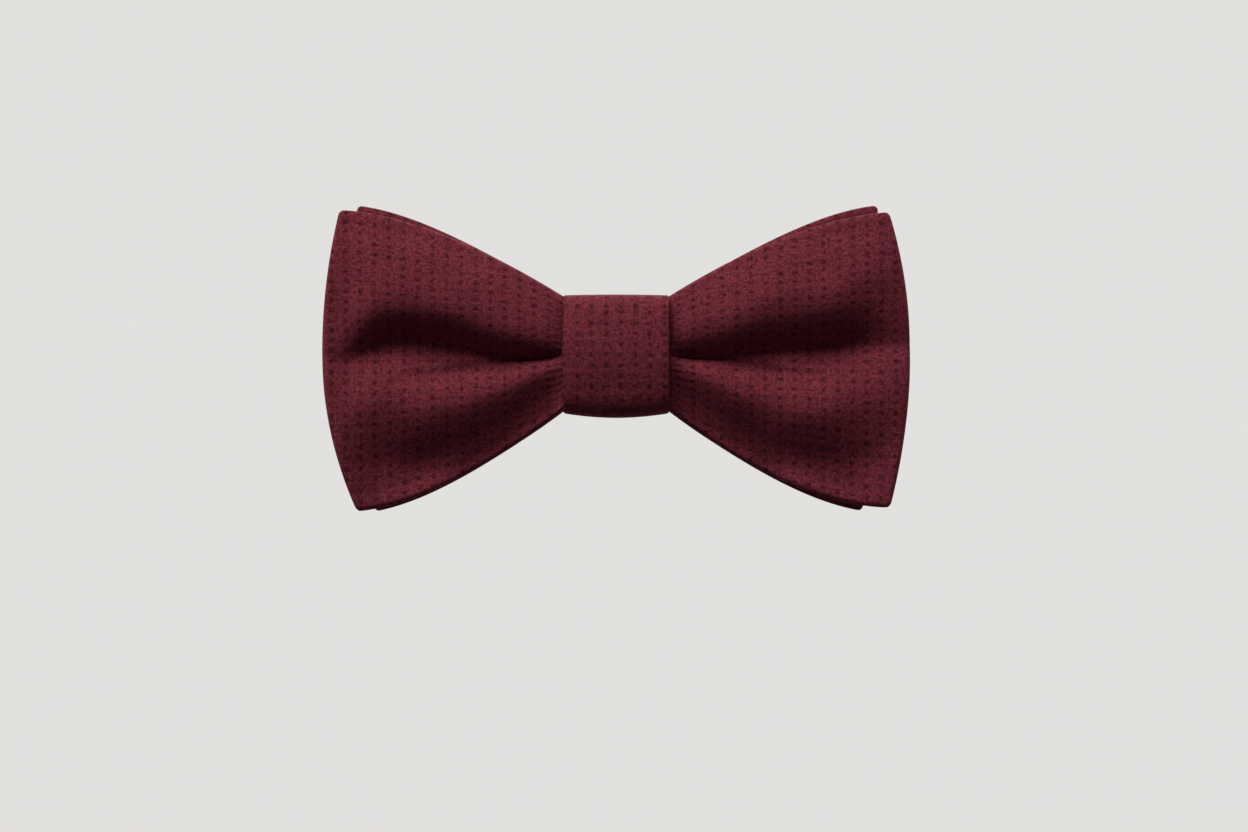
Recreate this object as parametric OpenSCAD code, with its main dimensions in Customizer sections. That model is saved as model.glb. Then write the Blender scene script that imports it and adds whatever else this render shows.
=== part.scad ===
// Pre-tied bow tie on an adjustable neck band.
// Millimetres. The origin is the centre of the neck loop, at the band's mid height.
// +Z is up, the bow faces -Y, and +X is on the right of a person who looks at the bow.
// Angles round the loop are counted from the front, where the bow is, towards +X.

/* [Front bow] */
// Width of the front bow from side to side
bow_w = 120; // [110:1:130]
// Height of the upper outer corners above the knot's centre
wing_top = 29.6; // [26:0.2:32]
// Depth of the lower outer corners below the knot's centre
wing_bottom = 31; // [27:0.2:33]
// How far each side edge swells out past its corners
side_swell = 4.4; // [2:0.2:6]
// How far the pleats of a wing stand forward and back
pleat_depth = 3.4; // [1:0.2:3.6]

/* [Rear bow] */
// Width of the rear bow from side to side
rear_bow_w = 106; // [98:1:110]
// How much taller the rear bow is than the front one, at the top and at the bottom
rear_extra_h = 0.7; // [0:0.1:2]
// How far the pleats of the rear bow stand forward and back
rear_pleat_depth = 1.2; // [0.4:0.1:1.4]

/* [Cloth layers] */
// Thickness of each layer out in the wings
layer_t = 0.8; // [0.5:0.05:0.9]
// Thickness of each gathered layer of the front bow inside the knot
front_waist_t = 1.57; // [1:0.01:1.57]
// Thickness of each gathered layer of the rear bow inside the knot
rear_waist_t = 1; // [0.6:0.05:1]
// Gap between the layers of one bow
layer_gap = 0.12; // [0.05:0.01:0.15]

/* [Knot] */
// Width of the knot wrap
knot_w = 21.7; // [18:0.1:26]
// Height of the knot wrap
knot_h = 24.6; // [24.6:0.1:28]
// Thickness of the folded knot wrap
knot_t = 1.1; // [1:0.05:1.2]
// How far the front of the knot swells at its middle
knot_swell = 0.9; // [0:0.1:2]

/* [Neck band] */
// Inner radius of the neck loop
neck_r = 59; // [58.5:0.5:66]
// Height of the band
band_h = 16; // [12:0.5:18]
// Thickness of the band
band_t = 1; // [1:0.05:1.1]
// Angle between two flex lines of the band
flex_step = 42; // [40:1:43]

/* [Closure] */
// Diameter of the round bars that the band's ends fold over
bar_d = 0.84; // [0.6:0.02:0.84]
// Thickness of the hook and eye plates
plate_t = 0.8; // [0.6:0.05:0.9]
// Angle of the slide round the loop
slide_angle = 134; // [129:1:140]

/* [Hidden] */
$fn = 96;

cloth = [0.42, 0.16, 0.19];
canvas = [0.86, 0.83, 0.76];
thread = [0.3, 0.08, 0.11];
nickel = [0.75, 0.75, 0.77];

// Depths behind and in front of the loop, all along -Y from the loop's centre
knot_back_y = neck_r + 0.3;
band_in_y = knot_back_y + knot_t + 0.1;
waist_back_y = band_in_y + band_t + 0.5;
rear_stack = 3 * rear_waist_t + 2 * layer_gap;
front_stack = 3 * front_waist_t + 2 * layer_gap;
rear_waist_y = waist_back_y + rear_stack / 2;
front_waist_y = waist_back_y + rear_stack + 0.2 + front_stack / 2;
waist_front_y = front_waist_y + front_stack / 2;
knot_front_y = waist_front_y + 0.5 + knot_t;
// The rear wings lie a little further back than their waist, the front wings further forward
rear_wing_y = rear_waist_y - 0.7;
front_wing_y = front_waist_y + 1.1;

knot_half_w = knot_w / 2;
knot_half_h = knot_h / 2;
waist_half_h = knot_half_h - knot_t - 0.8;
// Exponent of the curve of the upper and lower edges of a wing
edge_power = 1.85;
// Distance over which the pleats open beyond the knot, and where they start to flatten
pleat_open = 20;
pleat_flatten_from = 35;
pleat_flatten_over = 25;
// Share of the pleat depth that is lost at the tip
pleat_loss = 0.75;
// Pleats: place of the upper ridge and distance between ridges, as shares of the wing's height
ridge_at = 0.55;
ridge_step = 1.1;
// Cells of a cloth panel across one wing, across the knot, and up
wing_cols = 9;
knot_cols = 4;
rows = 8;
cols = 2 * wing_cols + knot_cols;
// How far past the knot's edge a panel keeps its gathered height
knot_edge_margin = 0.1;

// The band's flex lines, and how far each segment's end stays from its flex line
flex_1 = 28;
flex_2 = flex_1 + flex_step;
flex_3 = flex_2 + flex_step;
end_gap = 0.4;
end_gap_angle = end_gap / (neck_r + band_t / 2) * 180 / PI;
// The sleeve is a tube of this wall with a seam allowance at each edge; the interlining lies in it
sleeve_wall = 0.27;
edge_seam = 0.7;
core_gap = 0.05;
core_inset = sleeve_wall + core_gap;
hollow_h = band_h - 2 * edge_seam;
core_h = hollow_h - 0.4;

// Towards the closure the strap lies outside its own tail
fold_gap = 1;
rise = band_t + fold_gap;
fold_r = neck_r + band_t + fold_gap / 2;
bar_x = 10.5;
bar_y = sqrt(fold_r * fold_r - bar_x * bar_x);
fold_angle = 180 - asin(bar_x / fold_r);
rail_clearance = 0.35;
rail_in = band_h / 2 + rail_clearance;
rail_w = 1.1;
tail_gap_angle = 3.6;
tail_start = slide_angle + tail_gap_angle;
// Fabric that wraps the slide's middle bar, and the bars themselves
wrap_t = 0.4;
mid_bar_t = 0.8;
mid_bar_w = 1.25;
wrap_gap = 0.05;
mid_bar_r = neck_r + wrap_t + wrap_gap;
slide_half_angle = 5.4;
end_bar_angle = 1;
slide_bar_t = 0.8;
strap_out_r = neck_r + rise + band_t;
// Angles over which the right and the left strap rise by that much
right_rise_from = 1;
right_rise_over = 9;
left_rise_from = 36;
left_rise_over = 8;
right_rise = [flex_3 + right_rise_from, flex_3 + right_rise_from + right_rise_over];
left_rise = [flex_3 + left_rise_from, flex_3 + left_rise_from + left_rise_over];

function clamp01(t) = min(1, max(0, t));
function smooth(t) = let(c = clamp01(t)) c * c * (3 - 2 * c);
function mix(a, b, t) = a + (b - a) * t;
function on_loop(r, a) = [r * sin(a), -r * cos(a)];

// ---------- cloth panels of the two bows ----------

// Height of a wing's edge at distance x from the middle
function edge_h(x, corner_h, half_w) =
    let(s = clamp01((abs(x) - knot_half_w) / (half_w - side_swell - knot_half_w)))
    waist_half_h + (corner_h - waist_half_h) * (1 - pow(1 - s, edge_power));

// Distance forward of the loop's centre of a bow's middle surface. v runs from -1 to 1.
function bow_depth(x, v, waist_y, wing_y, depth) =
    let(opened = smooth((abs(x) - knot_half_w) / pleat_open))
    let(kept = 1 - pleat_loss * smooth((abs(x) - pleat_flatten_from) / pleat_flatten_over))
    mix(waist_y, wing_y, opened) + depth * opened * kept * cos(360 * (v - ridge_at) / ridge_step);

// One point of a panel. layer is -1 for the back, 0 for the interlining, 1 for the face.
function panel_point(u, v, side, layer, bow) =
    let(half_w = bow[0] / 2)
    let(x = sign(u) * (half_w * abs(u) - side_swell * v * v * pow(abs(u), 3)))
    let(z = v >= 0 ? v * edge_h(x, bow[1], half_w) : v * edge_h(x, bow[2], half_w))
    let(t = mix(bow[4], layer_t, smooth((abs(x) - knot_half_w) / pleat_open)))
    let(middle = bow_depth(x, v, bow[3], bow[5], bow[6]) + layer * (t + layer_gap))
    [x, -(middle + side * t / 2), z];

// Place of a column of the grid across a bow, from -1 to 1. Columns stand at both edges of the knot.
function column_at(i, half_w) =
    let(edge = (knot_half_w + knot_edge_margin) / half_w)
    let(m = i - cols / 2)
    abs(m) <= knot_cols / 2
        ? 2 * edge * m / knot_cols
        : sign(m) * mix(edge, 1, (abs(m) - knot_cols / 2) / wing_cols);

// Point of a panel's grid. The outermost points are pulled in by the share inset of a cell.
function grid_point(i, j, side, layer, bow, inset) =
    let(a = min(max(i, inset), cols - inset))
    let(b = min(max(j, inset), rows - inset))
    let(i0 = min(floor(a), cols - 1))
    let(j0 = min(floor(b), rows - 1))
    let(at = function(i, j)
        panel_point(column_at(i, bow[0] / 2), 2 * j / rows - 1, side, layer, bow))
    mix(mix(at(i0, j0), at(i0 + 1, j0), a - i0),
        mix(at(i0, j0 + 1), at(i0 + 1, j0 + 1), a - i0), b - j0);

module panel(bow, layer, inset) {
    n = (cols + 1) * (rows + 1);
    function at(s, i, j) = s * n + i * (rows + 1) + j;
    points = [
        for (s = [0, 1], i = [0 : cols], j = [0 : rows])
            grid_point(i, j, 1 - 2 * s, layer, bow, inset)
    ];
    quads = concat(
        [for (i = [0 : cols - 1], j = [0 : rows - 1])
            [at(0, i, j), at(0, i, j + 1), at(0, i + 1, j + 1), at(0, i + 1, j)]],
        [for (i = [0 : cols - 1], j = [0 : rows - 1])
            [at(1, i, j), at(1, i + 1, j), at(1, i + 1, j + 1), at(1, i, j + 1)]],
        [for (i = [0 : cols - 1]) [at(0, i, 0), at(0, i + 1, 0), at(1, i + 1, 0), at(1, i, 0)]],
        [for (i = [0 : cols - 1])
            [at(0, i + 1, rows), at(0, i, rows), at(1, i, rows), at(1, i + 1, rows)]],
        [for (j = [0 : rows - 1]) [at(0, 0, j + 1), at(0, 0, j), at(1, 0, j), at(1, 0, j + 1)]],
        [for (j = [0 : rows - 1])
            [at(0, cols, j), at(0, cols, j + 1), at(1, cols, j + 1), at(1, cols, j)]]
    );
    polyhedron(points, [for (q = quads, h = [0, 1]) [q[0], q[1 + h], q[2 + h]]]);
}

// Width, upper and lower corner height, waist depth, waist layer, wing depth, pleat depth
front_bow = [bow_w, wing_top, wing_bottom, front_waist_y, front_waist_t, front_wing_y,
             pleat_depth];
rear_bow = [rear_bow_w, wing_top + rear_extra_h, wing_bottom + rear_extra_h, rear_waist_y,
            rear_waist_t, rear_wing_y, rear_pleat_depth];
// Share of a cell that the interlining stays inside its bow's edges
interlining_inset = 0.3;

module front_bow_face() { color(cloth) panel(front_bow, 1, 0); }
module front_bow_interlining() { color(canvas) panel(front_bow, 0, interlining_inset); }
module front_bow_back() { color(cloth) panel(front_bow, -1, 0); }
module rear_bow_face() { color(cloth) panel(rear_bow, 1, 0); }
module rear_bow_interlining() { color(canvas) panel(rear_bow, 0, interlining_inset); }
module rear_bow_back() { color(cloth) panel(rear_bow, -1, 0); }

// ---------- knot ----------

knot_corner_r = 2.6;
knot_mid_y = (knot_back_y + knot_front_y) / 2;
knot_half_d = (knot_front_y - knot_back_y) / 2;

// Section of the knot in the Y-Z plane, inset all round. The front side is a barrel.
function knot_section(inset) =
    let(hd = knot_half_d - inset)
    let(hh = knot_half_h - inset)
    let(r = max(0.4, knot_corner_r - inset))
    let(corner = function(a0, y, z) [for (a = [0 : 15 : 90]) [y + r * cos(a0 + a), z + r * sin(a0 + a)]])
    let(front = [for (k = [1 : 5]) [-hd, (hh - r) * (1 - k / 3)]])
    let(loop = concat(corner(0, hd - r, hh - r), corner(90, r - hd, hh - r), front,
                      corner(180, r - hd, r - hh), corner(270, hd - r, r - hh)))
    [for (p = loop) [p[0] - (p[0] < 0 ? knot_swell * (1 - pow(p[1] / knot_half_h, 2)) : 0), p[1]]];

module knot_ring(outer, inner, w) {
    translate([0, -knot_mid_y, 0])
        rotate([90, 0, 90])
            linear_extrude(height = w, center = true)
                difference() {
                    polygon(knot_section(outer));
                    polygon(knot_section(inner));
                }
}

// The wrap is a folded strip whose edges meet along the middle of its inside.
// Its hollow holds the interlining.
fold_slit = 0.5;

module knot_wrap() {
    color(cloth) difference() {
        knot_ring(0, knot_t, knot_w);
        knot_ring(0.35, 0.75, knot_w - 1.6);
        knot_ring(0.6, knot_t + 0.2, fold_slit);
    }
}

module knot_interlining() { color(canvas) knot_ring(0.4, 0.7, knot_w - 1.8); }

// Slanted stitches that close the wrap at the back, against the neck
seam_stitches = 9;
seam_pitch = 2;
seam_stitch_r = 0.11;

module knot_seam_stitches() {
    color(thread)
        for (k = [0 : seam_stitches - 1])
            translate([0, -knot_back_y + seam_stitch_r + 0.02, (k - (seam_stitches - 1) / 2) * seam_pitch])
                rotate([0, 70, 0])
                    cylinder(h = 2, r = seam_stitch_r, center = true, $fn = 16);
}

// Turns of thread that gather both bows inside the knot
thread_turns = 3;
thread_pitch = 1.2;
thread_d = 0.36;
thread_gap = 0.04;

module gathering_thread() {
    half_d = (waist_front_y - waist_back_y) / 2 + thread_gap;
    half_h = waist_half_h + thread_gap;
    mid = (waist_front_y + waist_back_y) / 2;
    color(thread)
        for (k = [0 : thread_turns - 1])
            translate([(k - (thread_turns - 1) / 2) * thread_pitch, -mid, 0])
                rotate([90, 0, 90])
                    linear_extrude(height = thread_d, center = true)
                        difference() {
                            offset(r = thread_d, $fn = 32)
                                square([2 * half_d, 2 * half_h], center = true);
                            square([2 * half_d, 2 * half_h], center = true);
                        }
}

// ---------- neck band ----------

// Part of a ring round the loop, from angle a0 to a1
module arc_strip(r, t, h, a0, a1) {
    rotate([0, 0, a0 - 90])
        rotate_extrude(angle = a1 - a0)
            translate([r, -h / 2])
                square([t, h]);
}

// Angle by which a cut runs past a sleeve's open end, and by which the interlining stops short of it
open_end = 1;
core_short = 0.2;
// A rise that starts past the end of every strap
no_rise = [360, 361];

// Sleeve of the strap between two flex lines. It is a tube, open at both ends.
module segment(a0, a1) {
    from = a0 + end_gap_angle;
    to = a1 - end_gap_angle;
    color(cloth) difference() {
        arc_strip(neck_r, band_t, band_h, from, to);
        arc_strip(neck_r + sleeve_wall, band_t - 2 * sleeve_wall, hollow_h,
                  from - open_end, to + open_end);
    }
}

module segment_core(a0, a1) {
    back = end_gap_angle + core_short;
    color(canvas) rising_strap(core_inset, core_h, a0 + back, a1 - back, no_rise);
}

module mirror_to_left() { mirror([1, 0, 0]) children(); }

module band_right_front_sleeve() { segment(flex_1, flex_2); }
module band_right_front_interlining() { segment_core(flex_1, flex_2); }
module band_right_side_sleeve() { segment(flex_2, flex_3); }
module band_right_side_interlining() { segment_core(flex_2, flex_3); }
module band_left_front_sleeve() { mirror_to_left() segment(flex_1, flex_2); }
module band_left_front_interlining() { mirror_to_left() segment_core(flex_1, flex_2); }
module band_left_side_sleeve() { mirror_to_left() segment(flex_2, flex_3); }
module band_left_side_interlining() { mirror_to_left() segment_core(flex_2, flex_3); }

// How far beyond the knot the strap stays flat
strap_clearance = 0.3;

// Outline of the strap through the knot: flat behind the bow, then straight to the loop.
// The strap covers the radii from grow to band_t - grow outside its inner line.
function centre_line(d, longer = 0) =
    let(end = on_loop(neck_r + d, flex_1 - end_gap_angle + longer))
    let(flat = knot_half_w + strap_clearance)
    let(y = -(band_in_y + d))
    [[-end[0], end[1]], [-flat, y], [flat, y], end];

function reversed(list) = [for (i = [len(list) - 1 : -1 : 0]) list[i]];

module centre_strap(grow, h, longer = 0) {
    linear_extrude(height = h, center = true)
        polygon(concat(centre_line(grow, longer), reversed(centre_line(band_t - grow, longer))));
}

module band_centre_sleeve() {
    color(cloth) difference() {
        centre_strap(0, band_h);
        centre_strap(sleeve_wall, hollow_h, open_end);
    }
}

module band_centre_interlining() {
    end_margin = 1.5;
    keep = 2 * (neck_r * sin(flex_1) - end_margin);
    color(canvas) intersection() {
        centre_strap(core_inset, core_h);
        translate([0, -neck_r, 0]) cube([keep, neck_r, band_h], center = true);
    }
}

// Strap that rises from the loop's radius so that its tail fits under it
function strap_r(a, rising) = neck_r + rise * smooth((a - rising[0]) / (rising[1] - rising[0]));
function strap_line(d, a0, a1, rising) =
    let(steps = ceil((a1 - a0) / 1.5))
    [for (k = [0 : steps]) let(a = mix(a0, a1, k / steps)) on_loop(strap_r(a, rising) + d, a)];

module rising_strap(grow, h, a0, a1, rising) {
    linear_extrude(height = h, center = true)
        polygon(concat(strap_line(grow, a0, a1, rising),
                       reversed(strap_line(band_t - grow, a0, a1, rising))));
}

// Points of an arc between its two ends, which are left out
function arc_between(middle, r, a0, a1, steps) =
    [for (k = [1 : steps - 1]) let(a = mix(a0, a1, k / steps)) middle + r * [cos(a), sin(a)]];

// Outline of a strap from its flex line, out over the tail, round the bar, and back along the
// loop for tab degrees
function back_outline(rising, tab) =
    let(from = flex_3 + end_gap_angle)
    let(bar = [bar_x, bar_y])
    let(out = fold_angle - 90)
    let(inward = fold_angle + 90)
    let(tab_steps = ceil(tab / 1.5))
    let(tab_angles = [for (k = [0 : tab_steps]) fold_angle - tab * k / max(1, tab_steps)])
    concat(strap_line(0, from, fold_angle, rising),
           arc_between(bar, fold_gap / 2, out, inward, 16),
           [for (a = tab_angles) on_loop(neck_r + band_t, a)],
           [for (a = reversed(tab_angles)) on_loop(neck_r, a)],
           arc_between(bar, fold_gap / 2 + band_t, inward, out, 24),
           reversed(strap_line(band_t, from, fold_angle, rising)));

// Angle before the fold at which the sleeve's hollow ends
fold_solid = 3;

module back_strap(rising, tab) {
    from = flex_3 + end_gap_angle;
    color(cloth) difference() {
        linear_extrude(height = band_h, center = true) polygon(back_outline(rising, tab));
        rising_strap(sleeve_wall, hollow_h, from - open_end, fold_angle - fold_solid, rising);
    }
}

module back_strap_core(rising) {
    from = flex_3 + end_gap_angle + core_short;
    color(canvas)
        rising_strap(core_inset, core_h, from, fold_angle - fold_solid - core_short, rising);
}

module band_right_back_sleeve() { back_strap(right_rise, 0); }
module band_right_back_interlining() { back_strap_core(right_rise); }

// The left end folds over the eye's bar and is tacked down.
eye_tab_angle = 9;

module band_left_back_sleeve() { mirror_to_left() back_strap(left_rise, eye_tab_angle); }

module band_left_back_interlining() { mirror_to_left() back_strap_core(left_rise); }

// The right end comes back under the strap as the tail, as far as the slide.
tail_end_gap = 0.1;
tail_core_start = 1.2;

module band_tail_sleeve() {
    color(cloth) difference() {
        arc_strip(neck_r, band_t, band_h, tail_start, fold_angle - tail_end_gap);
        arc_strip(neck_r + sleeve_wall, band_t - 2 * sleeve_wall, hollow_h,
                  tail_start - open_end, fold_angle - fold_solid);
    }
}

module band_tail_interlining() {
    color(canvas)
        rising_strap(core_inset, core_h, tail_start + tail_core_start,
                     fold_angle - fold_solid - core_short, no_rise);
}

// A row of upright stitches on a surface of radius r
tack_stitches = 5;
tack_r = 0.13;
tack_length = 2;
tack_pitch = 2.7;
tack_lift = 0.03;
// Angles of the rows from the fold over the eye's bar, and from the slide's middle
eye_tack_rows = [4.5, 6];
loop_tack_rows = [4.6, 5.8];

module tack(r, a) {
    p = on_loop(r + tack_r + tack_lift, a);
    for (k = [0 : tack_stitches - 1])
        translate([p[0], p[1], (k - (tack_stitches - 1) / 2) * tack_pitch])
            cylinder(h = tack_length, r = tack_r, center = true, $fn = 16);
}

module eye_tack_stitches() {
    color(thread) mirror_to_left() for (a = eye_tack_rows) tack(strap_out_r, fold_angle - a);
}

module slide_loop_stitches() {
    color(thread) for (a = loop_tack_rows) tack(neck_r + band_t, slide_angle + a);
}

// ---------- slide, hook and eye ----------

// Both rails and posts at the strap's two edges
module both_edges() {
    for (s = [-1, 1]) translate([0, 0, s * (rail_in + rail_w / 2)]) children();
}

// A straight bar across the loop's radius r to r + t at angle a, w wide and h high
module flat_bar(r, t, w, h, a) {
    rotate([0, 0, a]) translate([0, -r - t / 2, 0]) cube([w, t, h], center = true);
}

end_bar_clearance = 0.35;

module slide() {
    a0 = slide_angle - slide_half_angle;
    a1 = slide_angle + slide_half_angle;
    rail_r = neck_r + rise;
    end_r = strap_out_r + end_bar_clearance;
    full_h = 2 * (rail_in + rail_w);
    color(nickel) {
        both_edges() arc_strip(rail_r, band_t, rail_w, a0, a1);
        for (a = [a0, a1 - end_bar_angle]) {
            arc_strip(end_r, slide_bar_t, full_h, a, a + end_bar_angle);
            both_edges() arc_strip(rail_r, end_r + slide_bar_t - rail_r, rail_w, a, a + end_bar_angle);
        }
        flat_bar(mid_bar_r, mid_bar_t, mid_bar_w, full_h, slide_angle);
        both_edges()
            flat_bar(mid_bar_r, rail_r + band_t - mid_bar_r, mid_bar_w, rail_w, slide_angle);
    }
}

// The tail's end, wrapped round the slide's middle bar
loop_h = band_h - 0.4;
loop_from = 1.2;
loop_hollow_from = 0.75;
loop_to = 3.2;

module slide_loop() {
    hollow_t = mid_bar_t + 2 * wrap_gap;
    color(cloth) difference() {
        arc_strip(neck_r, 2 * wrap_t + hollow_t, loop_h, slide_angle - loop_from, slide_angle + loop_to);
        arc_strip(neck_r + wrap_t, hollow_t, band_h,
                  slide_angle - loop_hollow_from, slide_angle + loop_to + open_end);
    }
}

// A plate cut from an outline whose first coordinate runs from the bar towards the tip
module plate(outline) {
    rotate([90, 0, 0])
        linear_extrude(height = plate_t, center = true)
            difference() {
                polygon(outline);
                children();
            }
}

slot_half_h = band_h / 2 + 0.3;
slot_w = 2.9;
frame_half_h = slot_half_h + 1;

module strap_bar() { cylinder(h = 2 * frame_half_h, d = bar_d, center = true); }

// Hook, drawn with its bar on the local Z axis and its tip towards +X
hook_reach = 11.3;
tongue_half_h = 2.4;
curl_gap = 1.2;
tip_back = 4;

module hook_body() {
    strap_bar();
    plate([[0, -frame_half_h], [3.4, -frame_half_h], [4.6, -8.6], [6.6, -3.2],
           [hook_reach, -tongue_half_h], [hook_reach, tongue_half_h], [6.6, 3.2], [4.6, 8.6],
           [3.4, frame_half_h], [0, frame_half_h]])
        translate([-1, -slot_half_h]) square([slot_w + 1, 2 * slot_half_h]);
    curl_y = plate_t / 2 + curl_gap / 2;
    translate([hook_reach, curl_y, 0])
        difference() {
            cylinder(h = 2 * tongue_half_h, r = curl_gap / 2 + plate_t, center = true);
            cylinder(h = band_h, r = curl_gap / 2, center = true);
            translate([-5, -5, -5]) cube([5, 10, 10]);
        }
    translate([hook_reach - tip_back, plate_t / 2 + curl_gap, -tongue_half_h])
        cube([tip_back, plate_t, 2 * tongue_half_h]);
}

// Eye, drawn in the same way
eye_reach = 6.9;
window_from = 3.9;
window_w = 2;
window_half_h = 3.6;

module eye_body() {
    strap_bar();
    plate([[0, -frame_half_h], [3.2, -frame_half_h], [4.4, -8.6], [eye_reach, -5.2],
           [eye_reach, 5.2], [4.4, 8.6], [3.2, frame_half_h], [0, frame_half_h]]) {
        translate([-1, -slot_half_h]) square([slot_w - 0.3 + 1, 2 * slot_half_h]);
        translate([window_from, -window_half_h]) square([window_w, 2 * window_half_h]);
    }
}

module hook() { color(nickel) translate([bar_x, bar_y, 0]) mirror([1, 0, 0]) hook_body(); }
module eye() { color(nickel) translate([-bar_x, bar_y, 0]) eye_body(); }

front_bow_face();
front_bow_interlining();
front_bow_back();
rear_bow_face();
rear_bow_interlining();
rear_bow_back();
knot_wrap();
knot_interlining();
knot_seam_stitches();
gathering_thread();
band_centre_sleeve();
band_centre_interlining();
band_right_front_sleeve();
band_right_front_interlining();
band_right_side_sleeve();
band_right_side_interlining();
band_right_back_sleeve();
band_right_back_interlining();
band_tail_sleeve();
band_tail_interlining();
slide();
slide_loop();
slide_loop_stitches();
hook();
band_left_front_sleeve();
band_left_front_interlining();
band_left_side_sleeve();
band_left_side_interlining();
band_left_back_sleeve();
band_left_back_interlining();
eye_tack_stitches();
eye();
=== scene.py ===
from math import cos, pi, radians, sin

import bmesh
import bpy
import numpy as np
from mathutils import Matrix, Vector


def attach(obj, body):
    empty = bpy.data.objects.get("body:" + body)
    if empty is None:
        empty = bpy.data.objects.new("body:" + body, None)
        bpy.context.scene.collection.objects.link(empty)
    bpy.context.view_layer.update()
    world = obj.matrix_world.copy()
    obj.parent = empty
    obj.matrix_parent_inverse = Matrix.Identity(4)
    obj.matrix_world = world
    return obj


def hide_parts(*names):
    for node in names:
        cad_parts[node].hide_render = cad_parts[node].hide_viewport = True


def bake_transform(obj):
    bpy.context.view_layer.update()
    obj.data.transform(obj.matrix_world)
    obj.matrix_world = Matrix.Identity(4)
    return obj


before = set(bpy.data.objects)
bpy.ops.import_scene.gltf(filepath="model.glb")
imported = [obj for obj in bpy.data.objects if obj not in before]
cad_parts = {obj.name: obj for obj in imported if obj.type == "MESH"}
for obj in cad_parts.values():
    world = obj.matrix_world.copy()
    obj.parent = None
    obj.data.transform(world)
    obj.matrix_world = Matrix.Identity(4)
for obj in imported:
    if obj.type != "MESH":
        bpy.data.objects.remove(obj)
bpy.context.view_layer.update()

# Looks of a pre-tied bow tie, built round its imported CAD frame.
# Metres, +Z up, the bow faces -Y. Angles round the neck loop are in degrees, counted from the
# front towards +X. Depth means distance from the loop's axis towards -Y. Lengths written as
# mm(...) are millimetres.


def mm(length):
    return length * 0.001


# ---------- sizes shared with the CAD part, in millimetres ----------

neck_r = 59.0
band_h = 16.0
band_t = 1.0
flex_lines = (28.0, 70.0, 112.0)
knot_half_w = 10.85
knot_t = 1.1
knot_back = 59.3
knot_front = 71.99
knot_half_h = 12.3
band_depth = 60.5
strap_rise = 2.0
bar_x = 10.5
fold_r = 60.5
fold_angle = 170.0
slide_angle = 134.0
tail_start = 137.6

# ---------- small mathematics ----------


def mix(a, b, t):
    return a + (b - a) * t


def smooth(t):
    t = np.clip(t, 0.0, 1.0)
    return t * t * (3 - 2 * t)


def on_loop(r, angle):
    """Point on the neck loop, as x and y."""
    return r * sin(radians(angle)), -r * cos(radians(angle))


def through(knots, x):
    """Smooth curve through (place, value) knots, with no overshoot between them."""
    place, value = np.array(knots, dtype=float).T
    step = np.diff(place)
    slope = np.diff(value) / step
    tangent = np.zeros_like(value)
    same_way = slope[:-1] * slope[1:] > 0
    both = np.where(same_way, slope[:-1] + slope[1:], 1.0)
    tangent[1:-1] = np.where(same_way, 2 * slope[:-1] * slope[1:] / both, 0.0)
    x = np.clip(x, place[0], place[-1])
    i = np.clip(np.searchsorted(place, x) - 1, 0, len(step) - 1)
    t = (x - place[i]) / step[i]
    return (
        value[i] * (1 + 2 * t) * (1 - t) ** 2
        + step[i] * tangent[i] * t * (1 - t) ** 2
        + value[i + 1] * t * t * (3 - 2 * t)
        - step[i] * tangent[i + 1] * t * t * (1 - t)
    )


# ---------- mesh building ----------


def make_piece(name, points, faces, cloth_uv=None, sharp_deg=50):
    """A mesh object from points in millimetres.

    cloth_uv is where each point lies on the cloth, or where each corner of each face does.
    """
    mesh = bpy.data.meshes.new(name)
    mesh.from_pydata([tuple(mm(c) for c in p) for p in points], [], faces)
    mesh.validate()
    if cloth_uv is not None:
        layer = mesh.uv_layers.new(name="cloth")
        by_corner = len(cloth_uv) == len(mesh.loops)
        for loop in mesh.loops:
            layer.data[loop.index].uv = cloth_uv[loop.index if by_corner else loop.vertex_index]
    for polygon in mesh.polygons:
        polygon.use_smooth = True
    mesh.set_sharp_from_angle(angle=radians(sharp_deg))
    piece = bpy.data.objects.new(name, mesh)
    bpy.context.scene.collection.objects.link(piece)
    return piece


def grid_faces(rows, columns, first=0, turned=False):
    """Quads of a grid whose point (i, j) has the index first + i * columns + j."""
    faces = []
    for i in range(rows - 1):
        for j in range(columns - 1):
            a = first + i * columns + j
            quad = (a, a + columns, a + columns + 1, a + 1)
            faces.append(quad[::-1] if turned else quad)
    return faces


def border(rows, columns):
    """Grid indices round the edge of a grid, in order."""
    ring = [i * columns for i in range(rows)]
    ring += [(rows - 1) * columns + j for j in range(1, columns)]
    ring += [i * columns + columns - 1 for i in range(rows - 2, -1, -1)]
    ring += [j for j in range(columns - 2, 0, -1)]
    return ring


def shell(name, outer, inner, cloth_uv):
    """A closed shell between two grids of points with the same shape."""
    rows, columns = outer.shape[:2]
    count = rows * columns
    ring = border(rows, columns)
    points = np.concatenate([outer.reshape(-1, 3), inner.reshape(-1, 3)])
    faces = grid_faces(rows, columns) + grid_faces(rows, columns, count, turned=True)
    for a, b in zip(ring, ring[1:] + ring[:1]):
        faces.append((b, a, a + count, b + count))
    uv = np.concatenate([cloth_uv.reshape(-1, 2)] * 2)
    return make_piece(name, points, faces, uv)


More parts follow.
